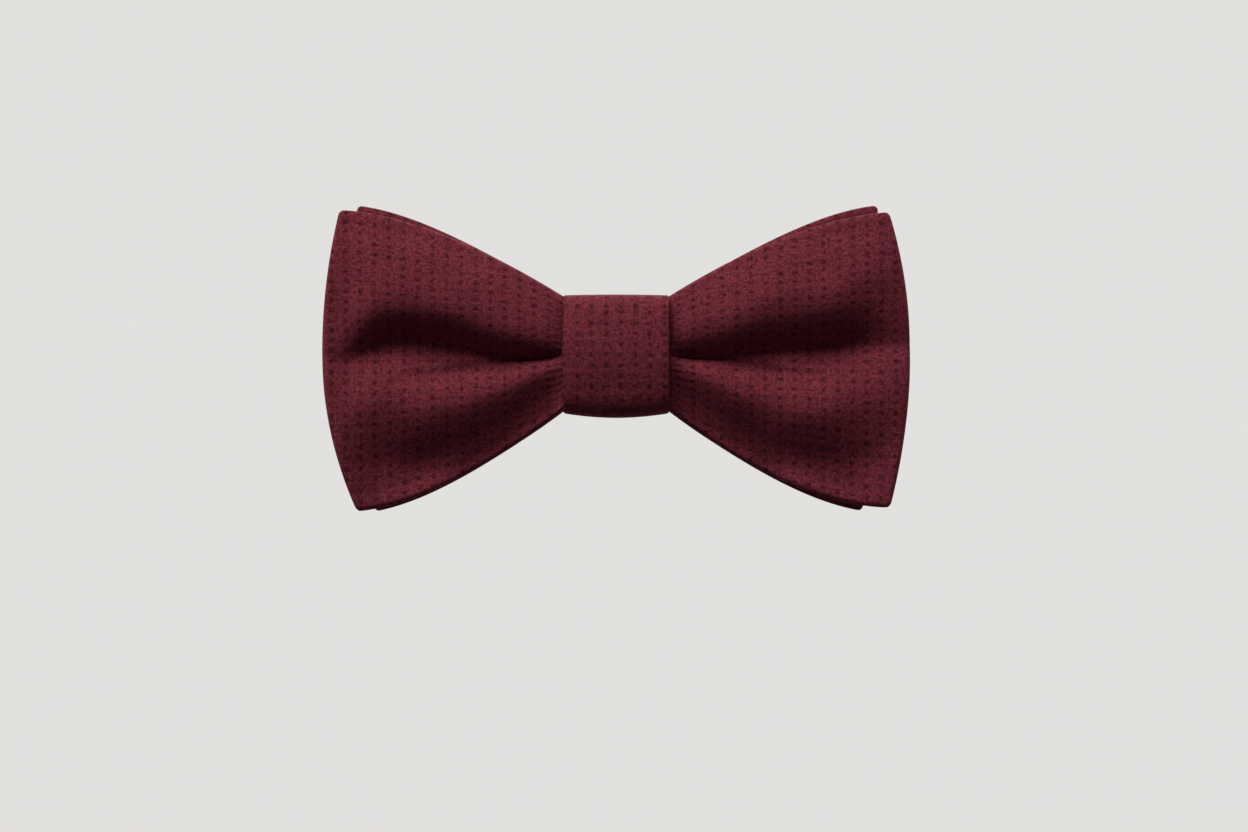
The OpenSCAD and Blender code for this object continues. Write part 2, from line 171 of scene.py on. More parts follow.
def sweep(name, section, path, across, closed=False, shape=None):
    """Carries a closed section along a path.

    section holds (across, out, cloth) rows: place across the strip, place outwards and the place
    round the cloth. path holds (x, y, z) points. across is the direction across the strip.
    shape, where given, moves the points: it takes and returns an array of points.
    """
    path = np.array(path, dtype=float)
    section = np.array(section, dtype=float)
    if closed:
        ahead = np.roll(path, -1, axis=0) - np.roll(path, 1, axis=0)
    else:
        ahead = np.gradient(path, axis=0)
    ahead /= np.linalg.norm(ahead, axis=1)[:, None]
    across = np.array(across, dtype=float)
    out = np.cross(ahead, across)
    onward = np.concatenate([path, path[:1]])
    step = np.linalg.norm(np.diff(onward, axis=0), axis=1)
    along = np.concatenate([[0.0], np.cumsum(step)])
    n, k = len(path), len(section)
    points = (
        path[:, None, :]
        + section[None, :, 1, None] * out[:, None, :]
        + section[None, :, 0, None] * across[None, None, :]
    )
    if shape:
        points = shape(points)
    faces, uv = [], []
    for i in range(n if closed else n - 1):
        for j in range(k):
            ahead_j = (j + 1) % k
            a, b = i * k + j, i * k + ahead_j
            faces.append((a, b, (b + k) % (n * k), (a + k) % (n * k)))
            here, there = section[j, 2], section[ahead_j, 2]
            uv += [(here, along[i]), (there, along[i]), (there, along[i + 1]), (here, along[i + 1])]
    if not closed:
        faces.append(tuple(range(k - 1, -1, -1)))
        faces.append(tuple(range((n - 1) * k, n * k)))
        uv += [tuple(section[j, :2]) for j in range(k - 1, -1, -1)]
        uv += [tuple(section[j, :2]) for j in range(k)]
    return make_piece(name, points.reshape(-1, 3), faces, uv)


def tube(points_list, radius, sides=8, twist=0.0, ply=0.0):
    """Points and faces of a round thread with tapered ends. ply deepens its two-ply groove."""
    path = np.array(points_list, dtype=float)
    ahead = np.gradient(path, axis=0)
    ahead /= np.linalg.norm(ahead, axis=1)[:, None]
    up = np.array([0.0, 1.0, 0.0])
    side = np.cross(ahead, up)
    side /= np.linalg.norm(side, axis=1)[:, None]
    other = np.cross(side, ahead)
    n = len(path)
    points, faces = [], []
    for i in range(n):
        taper = 0.45 if i in (0, n - 1) else 1.0
        for j in range(sides):
            angle = 2 * pi * j / sides
            r = radius * taper * (1 + ply * cos(2 * angle + twist * i))
            points.append(path[i] + r * (cos(angle) * side[i] + sin(angle) * other[i]))
    for i in range(n - 1):
        for j in range(sides):
            a, b = i * sides + j, i * sides + (j + 1) % sides
            faces.append((a, a + sides, b + sides, b))
    faces.append(tuple(range(sides)))
    faces.append(tuple(range(n * sides - 1, (n - 1) * sides - 1, -1)))
    return points, faces


def stitches(name, places, radius):
    """One piece of small bowed stitches. Each place is the middle, the way along and the way out."""
    points, faces = [], []
    for middle, along, out in places:
        line = []
        for t in np.linspace(-1, 1, 9):
            lift = radius * (1 - 2.2 * t * t)
            line.append(np.array(middle) + t * np.array(along) + lift * np.array(out))
        new_points, new_faces = tube(line, radius, twist=0.9, ply=0.16)
        first = len(points)
        points += new_points
        faces += [tuple(first + v for v in face) for face in new_faces]
    return make_piece(name, points, faces)


# ---------- the two bows ----------

# Both bows share the curve of their upper and lower edges: height at the knot, corner height,
# place where the edge starts to rise, place of the corner, and the power of the curve.
top_edge = dict(low=11.0, high=29.4, start=9.4, end=56.0, power=1.6)
bottom_edge = dict(low=11.0, high=31.0, start=9.9, end=55.0, power=1.72)

front_bow = dict(
    half_w=60.0,
    # how far the four corners lie in from the side's middle: left top, left bottom, right ones
    corner_in=(3.5, 7.0, 4.3, 4.0),
    # how much taller than the shared edge curves the same four corners are
    taller=(0.0, 1.2, -0.4, 0.3),
    waist_depth=67.915,
    wing_depth=69.015,
    waist_t=4.6,
    wing_t=2.3,
    # share of the folds that the face and the back follow, at the waist and in the wing
    face_folds=(1.0, 1.0),
    back_folds=(1.0, 1.0),
)
rear_bow = dict(
    half_w=53.4,
    corner_in=(0.1, 3.8, -0.4, 2.8),
    taller=(1.45, 1.8, 1.45, 1.5),
    waist_depth=63.62,
    wing_depth=62.92,
    waist_t=3.1,
    wing_t=1.9,
    face_folds=(0.8, 0.33),
    back_folds=(0.33, 0.33),
)
cloth_t = 0.45
# Half the gap between the two cloths where they meet at the rim
seam_gap = 0.03
rim_r = 1.1
# A bow opens out over this distance from the knot
open_over = 20.0
# Where a corner's extra height starts, and the distance that it grows over
taller_from = 18
taller_over = 34

# The curves below are knots of smooth curves. The first number of each knot is the distance from
# the bow's middle, in millimetres.

# How strongly each wing is folded
left_fold = [
    (9, 0.0), (10.85, 0.12), (13, 0.42), (16, 0.55), (21, 0.74), (27, 0.92), (34, 1.0), (42, 1.0),
    (48, 0.92), (52, 0.62), (56, 0.2), (60, 0.1),
]
right_fold = [
    (9, 0.0), (10.85, 0.12), (13, 0.42), (16, 0.55), (21, 0.74), (27, 0.9), (34, 0.96), (44, 0.96),
    (50, 0.8), (54, 0.5), (58, 0.25), (60, 0.2),
]
# Place of the main crease, as a share of the wing's height
left_crease = [
    (10, -0.03), (16, -0.07), (21, -0.06), (26, -0.02), (31, 0.045), (36, 0.085), (42, 0.108),
    (47, 0.085), (51, 0.015), (56, -0.045), (60, -0.06),
]
right_crease = [
    (10, -0.03), (16, -0.06), (21, -0.05), (26, -0.015), (31, 0.02), (36, 0.04), (44, 0.05), (60, 0.05),
]
# How far from the crease the lip over it and the hollow under it stand, against their usual places,
# which are shares of the way from the crease to the edge
left_lip = [
    (10, 0.72), (20, 0.8), (27, 0.86), (36, 0.87), (42, 0.82), (47, 0.74), (51, 0.66), (60, 0.55),
]
right_lip = [(10, 0.66), (20, 0.72), (27, 0.75), (36, 0.77), (46, 0.75), (52, 0.68), (60, 0.64)]
lip_share = 0.38
hollow = [
    (10, 0.72), (16, 0.76), (21, 0.86), (27, 0.94), (33, 1.0), (40, 1.0), (46, 0.94), (51, 0.84),
    (60, 0.75),
]
hollow_share = 0.72
# Height of the second groove, which branches off under the crease, and its depth and half width
groove_line = [(20, -1.6), (26, -2.3), (31, -3.1), (36, -4.0), (41, -4.6), (48, -5.6)]
groove_depth = 1.3
groove_w = 1.15

# Depth of the cloth, in millimetres at full strength. Here the first number is the share of the
# way from the crease up to the top edge, or down to the bottom edge.
left_upper = [
    (0, -3.3), (0.04, -2.5), (0.10, -0.8), (0.19, 1.5), (0.28, 3.1), (0.36, 3.85), (0.44, 4.05),
    (0.55, 3.8), (0.76, 2.5), (1, 0.2),
]
right_upper = [
    (0, -3.3), (0.05, -2.6), (0.14, -0.8), (0.22, 0.8), (0.31, 2.3), (0.42, 3.5), (0.54, 3.9),
    (0.76, 2.6), (1, 0.2),
]
lower = [
    (0, -3.3), (0.06, -2.7), (0.12, -1.8), (0.2, -0.7), (0.28, 0.3), (0.36, 0.95), (0.43, 1.1),
    (0.5, 0.7), (0.58, -0.3), (0.66, -1.6), (0.73, -2.9), (0.80, -3.8), (0.88, -4.0), (1, -3.4),
]
# By the knot the hollow falls away by this much more, right to the bottom edge
knot_fall = 1.9
# Gathers beside the knot: their depth, and how far they reach along the wing
gather_depth = 0.06
gather_reach = 6


def edge_height(x, edge, taller):
    """Height of the upper or lower edge above or below the middle, at distance x."""
    s = np.clip((np.abs(x) - edge["start"]) / (edge["end"] - edge["start"]), 0, 1)
    rise = (edge["high"] - edge["low"]) * (1 - (1 - s) ** edge["power"])
    return edge["low"] + rise + taller * smooth((np.abs(x) - taller_from) / taller_over)


def by_side(x, left, right):
    return np.where(x < 0, left, right)


def soften(t, soft):
    """Rounds the start of a share from 0 to 1, so that a profile has no sharp point there."""
    return (np.sqrt(t * t + soft * soft) - soft) / (np.sqrt(1 + soft * soft) - soft)


def fold_depth(x, z, v):
    """The folds' depth at height share v, and the small unevenness to add to it."""
    far = np.abs(x)
    crease = by_side(x, through(left_crease, far), through(right_crease, far))
    amount = by_side(x, through(left_fold, far), through(right_fold, far))
    up = np.clip((v - crease) / (1 - crease), 0, 1)
    down = np.clip((crease - v) / (1 + crease), 0, 1)
    lip = by_side(x, through(left_lip, far), through(right_lip, far))
    up = up ** (np.log(lip_share) / np.log(lip_share * lip))
    down = down ** (np.log(hollow_share) / np.log(hollow_share * through(hollow, far)))
    # the crease is sharp by the knot and opens near the wing's end
    soft = 0.012 + 0.16 * smooth((far - 43) / 12)
    up = soften(up, soft)
    down = soften(down, soft)
    upper = by_side(x, through(left_upper, up), through(right_upper, up))
    fall = -knot_fall * smooth((down - 0.76) / 0.24) * (1 - smooth((far - 29) / 9))
    profile = np.where(v >= crease, upper, through(lower, down) + fall)
    # the groove fades in, weakens half way along the wing and fades out
    shown = smooth((far - 21) / 8) * (1 - 0.45 * smooth((far - 32) / 5) - 0.55 * smooth((far - 38) / 12))
    groove = -groove_depth * np.exp(-(((z - through(groove_line, far)) / groove_w) ** 2)) * shown
    gathers = gather_depth * np.cos(18 * pi * v + 0.8)
    gathers *= np.exp(-np.clip(far - knot_half_w, 0, None) / gather_reach)
    gathers *= smooth((far - 9) / 1.85)
    uneven = 0.10 * np.sin(0.23 * x + 1.3) * np.cos(0.31 * z + 0.4) + 0.07 * np.sin(0.41 * x - 0.37 * z)
    uneven *= smooth((far - 14) / 12)
    return amount * profile + groove, gathers + uneven


def rim_grid(linear, rim_steps=5):
    """Grid places from -1 to 1 with extra places at both ends for a rounded rim.

    Returns the places and how far round the rim each one is, in radians.
    """
    turns = np.radians(np.linspace(90, 90 / rim_steps, rim_steps))
    places = np.concatenate([-np.ones(rim_steps), linear, np.ones(rim_steps)])
    rim = np.concatenate([turns, np.zeros(len(linear)), turns[::-1]])
    return places, rim


def bow_grid(bow, inset):
    """Places of a bow's grid: x, z, height share v, and the fullness of the rim.

    inset is how far inside the bow's outline the rim ends.
    """
    half_w = bow["half_w"]
    knot_edge = (knot_half_w + 0.15) / half_w
    wing = np.linspace(knot_edge, 1, 46)
    waist = np.linspace(-knot_edge, knot_edge, 14)[1:-1]
    across, across_rim = rim_grid(np.concatenate([-wing[::-1], waist, wing]))
    up = np.linspace(0, 1, 41)
    height, height_rim = rim_grid(np.concatenate([-up[:0:-1], up]))
    across, height = np.meshgrid(across, height, indexing="ij")
    across_rim, height_rim = np.meshgrid(across_rim, height_rim, indexing="ij")
    in_u = inset + (rim_r - inset) * (1 - np.sin(across_rim))
    in_v = inset + (rim_r - inset) * (1 - np.sin(height_rim))
    # round the corners: places near both edges move in from the corner's point
    a = np.where(np.abs(across) >= 1, 1 - in_u / rim_r, 0)
    b = np.where(np.abs(height) >= 1, 1 - in_v / rim_r, 0)
    in_u = np.where(b > 0, rim_r * (1 - a * np.sqrt(1 - b * b / 2)), in_u)
    in_v = np.where(a > 0, rim_r * (1 - b * np.sqrt(1 - a * a / 2)), in_v)
    u = across * (1 - in_u / half_w)
    x = half_w * u
    crease = by_side(x, through(left_crease, np.abs(x)), through(right_crease, np.abs(x)))
    left_top, left_bottom, right_top, right_bottom = bow["corner_in"]
    taller_top = by_side(x, bow["taller"][0], bow["taller"][2])
    taller_bottom = by_side(x, bow["taller"][1], bow["taller"][3])
    for _ in range(3):
        top = edge_height(x, top_edge, taller_top)
        bottom = edge_height(x, bottom_edge, taller_bottom)
        v_top = 1 - in_v / top
        v_bottom = 1 - in_v / bottom
        reach = np.where(height >= 0, v_top - crease, v_bottom + crease)
        v = crease + reach * height
        pull = np.where(v >= 0, by_side(u, left_top, right_top), by_side(u, left_bottom, right_bottom))
        x = half_w * u - np.sign(u) * pull * v * v * np.abs(u) ** 3
    z = np.where(v >= 0, v * top, v * bottom)
    return x, z, v, np.cos(across_rim) * np.cos(height_rim)


def opened(x):
    return smooth((np.abs(x) - knot_half_w) / open_over)


def middle_depth(x, z, v, bow):
    """Depth between a bow's two cloths, and how much further forward than that the face's folds are."""
    folds, small = fold_depth(x, z, v)
    face = mix(*bow["face_folds"], opened(x))
    back = mix(*bow["back_folds"], opened(x))
    middle = mix(bow["waist_depth"], bow["wing_depth"], opened(x)) + small + folds * (face + back) / 2
    return middle, folds * (face - back) / 2


# Half the height of the flat cloth, the share of it that is left at the knot, and the distance
# over which it spreads
cloth_half_h = 30.5
gathered_share = 0.66
spread_over = 32


def cloth_place(x, v):
    """Where a point lies on the flat cloth, in millimetres. The cloth is gathered at the knot."""
    spread = mix(gathered_share, 1.0, smooth((np.abs(x) - knot_half_w) / spread_over))
    return np.stack([x, v * cloth_half_h * spread], axis=-1)


def bow_cloth(name, bow, side):
    """The face cloth (side 1) or the back cloth (side -1) of a bow, turned in at its edges."""
    grids = []
    for inset, thick in ((0.0, 0.0), (cloth_t, cloth_t)):
        x, z, v, full = bow_grid(bow, inset)
        half_t = mix(bow["waist_t"], bow["wing_t"], opened(x)) / 2
        middle, apart = middle_depth(x, z, v, bow)
        depth = middle + side * (seam_gap + (half_t - thick - seam_gap + apart) * full)
        grids.append(np.stack([x, -depth, z], axis=-1))
        if not thick:
            uv = cloth_place(x, v)
    if side < 0:
        grids = [g[::-1] for g in grids]
        uv = uv[::-1]
    return shell(name, grids[0], grids[1], uv)


canvas_half_t = 0.3
canvas_inset = 2.2
# How far a bow canvas's corners lie in from the middle of its sides
canvas_corner_in = 6


def bow_canvas(name, bow):
    """The interlining between the two cloths of a bow."""
    across, height = np.meshgrid(np.linspace(-1, 1, 81), np.linspace(-1, 1, 45), indexing="ij")
    x = (bow["half_w"] - canvas_inset - canvas_corner_in * height**2) * across
    top = edge_height(x, top_edge, 0) - canvas_inset
    bottom = edge_height(x, bottom_edge, 0) - canvas_inset
    z = np.where(height >= 0, height * top, height * bottom)
    v = np.where(z >= 0, z / edge_height(x, top_edge, 0), z / edge_height(x, bottom_edge, 0))
    middle = middle_depth(x, z, v, bow)[0]
    front = np.stack([x, -(middle + canvas_half_t), z], axis=-1)
    back = np.stack([x, -(middle - canvas_half_t), z], axis=-1)
    return shell(name, front, back, np.stack([x, z], axis=-1))


# ---------- folded strips: the knot wrap and the neck band ----------


def folded_section(width, thick, ply, slit, crown):
    """A strip folded so that its edges meet at a slit in the middle of its inner side.

    ply is the cloth's thickness, and crown is how far the outer side swells.
    """
    r = thick / 2
    half = width / 2
    flat = half - r
    arc = np.radians(np.linspace(-90, 90, 9))
    # places across the flat sides, as shares of their half width, closer together by the slit
    slit_side = (0, 0.03, 0.3, 0.65)
    outer_half = (0.85, 0.6, 0.35, 0.12, 0.04)
    outer_side = (*outer_half, 0, *(-t for t in outer_half[::-1]))

    def contour(inset):
        rr = r - inset
        rows = [(slit / 2 + (flat - slit / 2) * t, inset) for t in slit_side]
        rows += [(flat + rr * cos(a), r + rr * sin(a)) for a in arc]
        rows += [(flat * t, thick - inset) for t in outer_side]
        rows += [(-flat - rr * cos(a), r + rr * sin(a)) for a in arc[::-1]]
        rows += [(-slit / 2 - (flat - slit / 2) * t, inset) for t in slit_side[::-1]]
        return np.array(rows)

    outer = contour(0.0)
    inner = contour(ply)[::-1]
    length = np.concatenate([[0], np.cumsum(np.linalg.norm(np.diff(outer, axis=0), axis=1))])
    length -= length[-1] / 2
    rows = []
    for contour_points, places in ((outer, length), (inner, length[::-1])):
        for (a, o), place in zip(contour_points, places):
            swell = crown * (1 - (a / half) ** 2) * (1 if o > r else -0.35)
            rows.append((a, o + swell, place))
    return rows


def plain_section(width, thick, steps=10):
    """A flat strip with rounded edges, centred on the path."""
    r = thick / 2
    flat = width / 2 - r
    arc = np.radians(np.linspace(-90, 90, 7))
    rows = [(flat + r * cos(a), r * sin(a)) for a in arc]
    rows += [(flat * t, r) for t in np.linspace(1, -1, steps)[1:-1]]
    rows += [(-flat - r * cos(a), -r * sin(a)) for a in arc]
    rows += [(flat * t, -r) for t in np.linspace(-1, 1, steps)[1:-1]]
    return [(a, o, a + (3 * width if o < 0 else 0)) for a, o in rows]


def resample(points, step, closed=False):
    """Points at an even spacing along a polyline."""
    points = np.array(points, dtype=float)
    if closed:
        points = np.concatenate([points, points[:1]])
    length = np.concatenate([[0], np.cumsum(np.linalg.norm(np.diff(points, axis=0), axis=1))])
    count = max(2, int(round(length[-1] / step)))
    places = np.linspace(0, length[-1], count + 1)
    if closed:
        places = places[:-1]
    return np.stack([np.interp(places, length, points[:, c]) for c in range(3)], axis=-1)


# The knot: how far its front swells from top to bottom and from side to side, how far its bottom
# sags and its top lifts, and how deep the seam at its back is sunk
knot_swell = 2.7
swell_power = 2.2
knot_crown = 0.45
knot_sag = 0.95
knot_lift = 0.15
knot_seam = 0.16
seam_w = 0.35
knot_slack = 0.25
knot_front_r = 2.5
knot_back_r = 1.2


def knot_front_share(y):
    """1 on the knot's front and 0 behind it, by the place y."""
    return smooth((-y - 66) / 3.5)


def knot_loop():
    """The inner line of the wrap round the bow, in the Y-Z plane, as (x, y, z) points."""
    back, front = knot_back + knot_t, knot_front - knot_t
    half_h = knot_half_h - knot_t - knot_slack
    corners = (
        (front - knot_front_r, half_h - knot_front_r, knot_front_r, 0),
        (back + knot_back_r, half_h - knot_back_r, knot_back_r, 90),
        (back + knot_back_r, knot_back_r - half_h, knot_back_r, 180),
        (front - knot_front_r, knot_front_r - half_h, knot_front_r, 270),
    )
    points = []
    for depth, z, r, start in corners:
        for a in np.radians(np.linspace(start, start + 90, 10)):
            points.append((0, -(depth + r * cos(a)), z + r * sin(a)))
    line = resample(points, 0.6, closed=True)
    swell = 1 - np.abs(line[:, 2] / knot_half_h) ** swell_power
    line[:, 1] -= knot_swell * knot_front_share(line[:, 1]) * swell
    return line


def shape_knot(points):
    """Crowns the knot's front, sags its bottom and sinks the seam at its back."""
    x = points[..., 0]
    across = 1 - (x / knot_half_w) ** 2
    front_share = knot_front_share(points[..., 1])
    back_share = smooth((62.5 + points[..., 1]) / 2)
    points[..., 1] -= knot_crown * across * front_share
    points[..., 1] -= knot_seam * np.exp(-((x / seam_w) ** 2)) * back_share
    low = smooth((-points[..., 2] - 6) / 6)
    high = smooth((points[..., 2] - 6) / 6)
    points[..., 2] += knot_lift * across * high - knot_sag * across * low
    return points


band_core_w = 13.4
band_fold = folded_section(band_h, band_t, 0.3, 0.05, 0.06)
band_core = [(a, o + band_t / 2, c) for a, o, c in plain_section(band_core_w, 0.28, 6)]
# The strap lies flat behind the bow and turns to the loop over this stretch, and its front piece
# meets the loop just before the first flex line
lead_from = 9.6
lead_over = 5.0
join_angle = flex_lines[0] - 0.4


def centre_line(x):
    """Inner line of the strap near the bow, as a depth, before it joins the loop."""
    join = on_loop(neck_r, join_angle)
    bend = lead_from + lead_over / 2
    slope = (band_depth + join[1]) / (join[0] - bend)
    t = np.clip((x - lead_from) / lead_over, 0, 1)
    run = lead_over * (t**3 - t**4 / 2) + max(0, x - lead_from - lead_over)
    return band_depth - slope * run


def strap_radius(angle, rising):
    """Inner radius of the strap, which steps out to its folded end between two angles."""
    return neck_r + strap_rise * float(smooth((angle - rising[0]) / (rising[1] - rising[0])))


def front_path(side, to_angle):
    """Inner line of the strap from the middle of the knot to an angle on the loop."""
    join_x = on_loop(neck_r, join_angle)[0]
    points = [(x, -centre_line(x), 0) for x in np.arange(0, join_x - 0.5, 0.5)]
    points += [(*on_loop(neck_r, a), 0) for a in np.arange(join_angle, to_angle, 0.5)]
    points.append((*on_loop(neck_r, to_angle), 0))
    return [(side * x, y, z) for x, y, z in resample(points, 1.2)]


def loop_path(side, a0, a1, rising=(360.0, 361.0)):
    """Inner line of the strap on the loop between two angles."""
    angles = np.linspace(a0, a1, max(3, int(abs(a1 - a0) / 1.1) + 1))
    points = [on_loop(strap_radius(a, rising), a) for a in angles]
    return [(side * x, y, 0) for x, y in points]


def strap(name, side, path, section):
    """Sweeps a section along a strap's path. Out is away from the neck on both sides."""
    return sweep(name, section, path, (0, 0, side))


# ---------- materials ----------


def new_material(name):
    material = bpy.data.materials.new(name)
    material.use_nodes = True
    nodes = material.node_tree.nodes
    nodes.clear()
    output = nodes.new("ShaderNodeOutputMaterial")
    shader = nodes.new("ShaderNodeBsdfPrincipled")
    material.node_tree.links.new(shader.outputs["BSDF"], output.inputs["Surface"])
    return material, material.node_tree, shader


def node(tree, kind, **settings):
    """A new shader node with these settings."""
    made = tree.nodes.new(kind)
    for key, value in settings.items():
        setattr(made, key, value)
    return made


def math(tree, operation, a, b=None, clamp=False):
    """A Math node. a and b are numbers or sockets."""
    made = node(tree, "ShaderNodeMath", operation=operation, use_clamp=clamp)
    for socket, value in zip(made.inputs, (a, b)):
        if isinstance(value, (int, float)):
            socket.default_value = value
        elif value is not None:
            tree.links.new(value, socket)
    return made.outputs[0]


def vector_math(tree, operation, a, b=None):
    made = node(tree, "ShaderNodeVectorMath", operation=operation)
    for socket, value in zip(made.inputs, (a, b)):
        if isinstance(value, tuple):
            socket.default_value = value
        elif value is not None:
            tree.links.new(value, socket)
    return made


def noise(tree, vector, scale, detail=2.0, roughness=0.5):
    made = node(tree, "ShaderNodeTexNoise", noise_dimensions="3D")
    made.inputs["Scale"].default_value = scale
    made.inputs["Detail"].default_value = detail
    made.inputs["Roughness"].default_value = roughness
    tree.links.new(vector, made.inputs["Vector"])
    return made.outputs["Fac"]


def stretch(tree, vector, scale):
    return vector_math(tree, "MULTIPLY", vector, scale).outputs["Vector"]


def to_range(tree, value, low, high, to_low=0.0, to_high=1.0, smoothly=True):
    made = node(tree, "ShaderNodeMapRange", interpolation_type="SMOOTHSTEP" if smoothly else "LINEAR")
    tree.links.new(value, made.inputs["Value"])
    for key, number in (("From Min", low), ("From Max", high), ("To Min", to_low), ("To Max", to_high)):
        made.inputs[key].default_value = number
    return made.outputs["Result"]


def blend_colours(tree, factor, a, b, mode="MIX"):
    """Mixes two colours. Each is a tuple or a socket, and factor is a number or a socket."""
    made = node(tree, "ShaderNodeMix", data_type="RGBA", blend_type=mode)
    for socket, value in ((made.inputs[0], factor), (made.inputs[6], a), (made.inputs[7], b)):
        if isinstance(value, tuple):
            socket.default_value = (*value, 1.0)
        elif isinstance(value, (int, float)):
            socket.default_value = value
        else:
            tree.links.new(value, socket)
    return made.outputs[2]


def bump(tree, shader, height, distance, strength=1.0):
    made = node(tree, "ShaderNodeBump")
    made.inputs["Strength"].default_value = strength
    made.inputs["Distance"].default_value = distance
    tree.links.new(height, made.inputs["Height"])
    tree.links.new(made.outputs["Normal"], shader.inputs["Normal"])


def node_grey(tree, value):
    """A grey colour of this brightness."""
    made = node(tree, "ShaderNodeCombineColor")
    for socket in made.inputs[:3]:
        tree.links.new(value, socket)
    return made.outputs[0]


def two_tone(tree, factor, low, high, dark, light):
    """A colour between dark and light, as the factor goes from low to high."""
    return blend_colours(tree, to_range(tree, factor, low, high), dark, light)


def cloth_coordinates(tree):
    """Place on the cloth, in millimetres."""
    return node(tree, "ShaderNodeUVMap", uv_map="cloth").outputs["UV"]


def object_coordinates(tree):
    """Place in the part's own frame, in metres."""
    return node(tree, "ShaderNodeTexCoord").outputs["Object"]


# Pitch of the woven dots along and across the cloth, their radius, how far they are shaken off
# their grid and how ragged their edges are, in millimetres
dot_pitch = (2.95, 2.1)
dot_r = 0.85
dot_shake = (0.95, 0.85, 0.0)
dot_ragged = 1.1
# Colours of the cloth's threads, of its light and dark flecks and of its dots
thread_dark = (0.125, 0.0120, 0.0180)
thread_light = (0.210, 0.0290, 0.0420)
fleck_light = (0.250, 0.048, 0.078)
fleck_dark = (0.070, 0.0055, 0.0085)
dot_colour = (0.040, 0.0030, 0.0050)


def burgundy_cloth():
    """Fine dobby cloth: heathered burgundy with rows of small sunk dots."""
    material, tree, shader = new_material("burgundy_cloth")
    place = cloth_coordinates(tree)
    # rows of dots
    wander = node(tree, "ShaderNodeTexNoise")
    wander.inputs["Scale"].default_value = 0.9
    tree.links.new(place, wander.inputs["Vector"])
    shaken = vector_math(tree, "MULTIPLY_ADD", wander.outputs["Color"], dot_shake)
    tree.links.new(place, shaken.inputs[2])
    cell = vector_math(tree, "DIVIDE", shaken.outputs["Vector"], (*dot_pitch, 1.0))
    cell = vector_math(tree, "FRACTION", cell.outputs["Vector"])
    cell = vector_math(tree, "SUBTRACT", cell.outputs["Vector"], (0.5, 0.5, 0.0))
    cell = vector_math(tree, "MULTIPLY", cell.outputs["Vector"], (*dot_pitch, 0.0))
    from_dot = vector_math(tree, "LENGTH", cell.outputs["Vector"]).outputs["Value"]
    ragged = math(tree, "SUBTRACT", noise(tree, place, 1.9, 3.0), 0.5)
    from_dot = math(tree, "ADD", from_dot, math(tree, "MULTIPLY", ragged, dot_ragged))
    dots = to_range(tree, from_dot, 0.0, dot_r, 1.0, 0.0)
    strength = to_range(tree, noise(tree, place, 0.35, 2.0), 0.35, 0.65, 0.45, 0.95)
    # crossed threads and the heather between them
    warp = noise(tree, stretch(tree, place, (2.6, 0.5, 1.0)), 1.0, 3.0, 0.6)
    weft = noise(tree, stretch(tree, place, (0.5, 2.6, 1.0)), 1.0, 3.0, 0.6)
    fleck = noise(tree, place, 1.7, 4.0, 0.7)
    cloud = noise(tree, place, 0.16, 2.0)
    threads = math(tree, "ADD", warp, weft)
    colour = two_tone(tree, threads, 0.8, 1.2, thread_dark, thread_light)
    colour = two_tone(tree, fleck, 0.45, 0.68, colour, fleck_light)
    colour = two_tone(tree, fleck, 0.47, 0.30, colour, fleck_dark)
    shade = to_range(tree, cloud, 0.3, 0.7, 0.92, 1.07)
    colour = blend_colours(tree, 1.0, colour, node_grey(tree, shade), "MULTIPLY")
    colour = blend_colours(tree, math(tree, "MULTIPLY", dots, strength), colour, dot_colour)
    tree.links.new(colour, shader.inputs["Base Color"])
    shader.inputs["Roughness"].default_value = 0.82
    shader.inputs["Specular IOR Level"].default_value = 0.12
    shader.inputs["Sheen Weight"].default_value = 0.10
    shader.inputs["Sheen Roughness"].default_value = 0.45
    shader.inputs["Sheen Tint"].default_value = (0.85, 0.32, 0.42, 1.0)
    fine = math(tree, "ADD", math(tree, "MULTIPLY", threads, 0.5), math(tree, "MULTIPLY", fleck, 0.5))
    height = math(tree, "SUBTRACT", fine, math(tree, "MULTIPLY", dots, 0.9))
    bump(tree, shader, height, 0.00016, 0.75)
    return material


def interlining_canvas():
    """Cream woven canvas inside the bows and the band."""
    material, tree, shader = new_material("interlining_canvas")
    place = cloth_coordinates(tree)
    warp = noise(tree, stretch(tree, place, (5.0, 0.4, 1.0)), 1.0, 2.0)
    weft = noise(tree, stretch(tree, place, (0.4, 5.0, 1.0)), 1.0, 2.0)
    threads = math(tree, "ADD", warp, weft)
    colour = two_tone(tree, threads, 0.75, 1.25, (0.60, 0.54, 0.43), (0.78, 0.73, 0.62))
    tree.links.new(colour, shader.inputs["Base Color"])
    shader.inputs["Roughness"].default_value = 0.9
    bump(tree, shader, threads, 0.00015, 0.6)
    return material


def sewing_thread():
    """Dark red twisted thread."""
    material, tree, shader = new_material("sewing_thread")
    place = object_coordinates(tree)
    twist = noise(tree, stretch(tree, place, (9000.0, 9000.0, 3000.0)), 1.0, 1.0)
    colour = two_tone(tree, twist, 0.35, 0.65, (0.060, 0.006, 0.010), (0.140, 0.020, 0.032))
    tree.links.new(colour, shader.inputs["Base Color"])
    shader.inputs["Roughness"].default_value = 0.55
    shader.inputs["Sheen Weight"].default_value = 0.2
    bump(tree, shader, twist, 0.00004, 0.5)
    return material


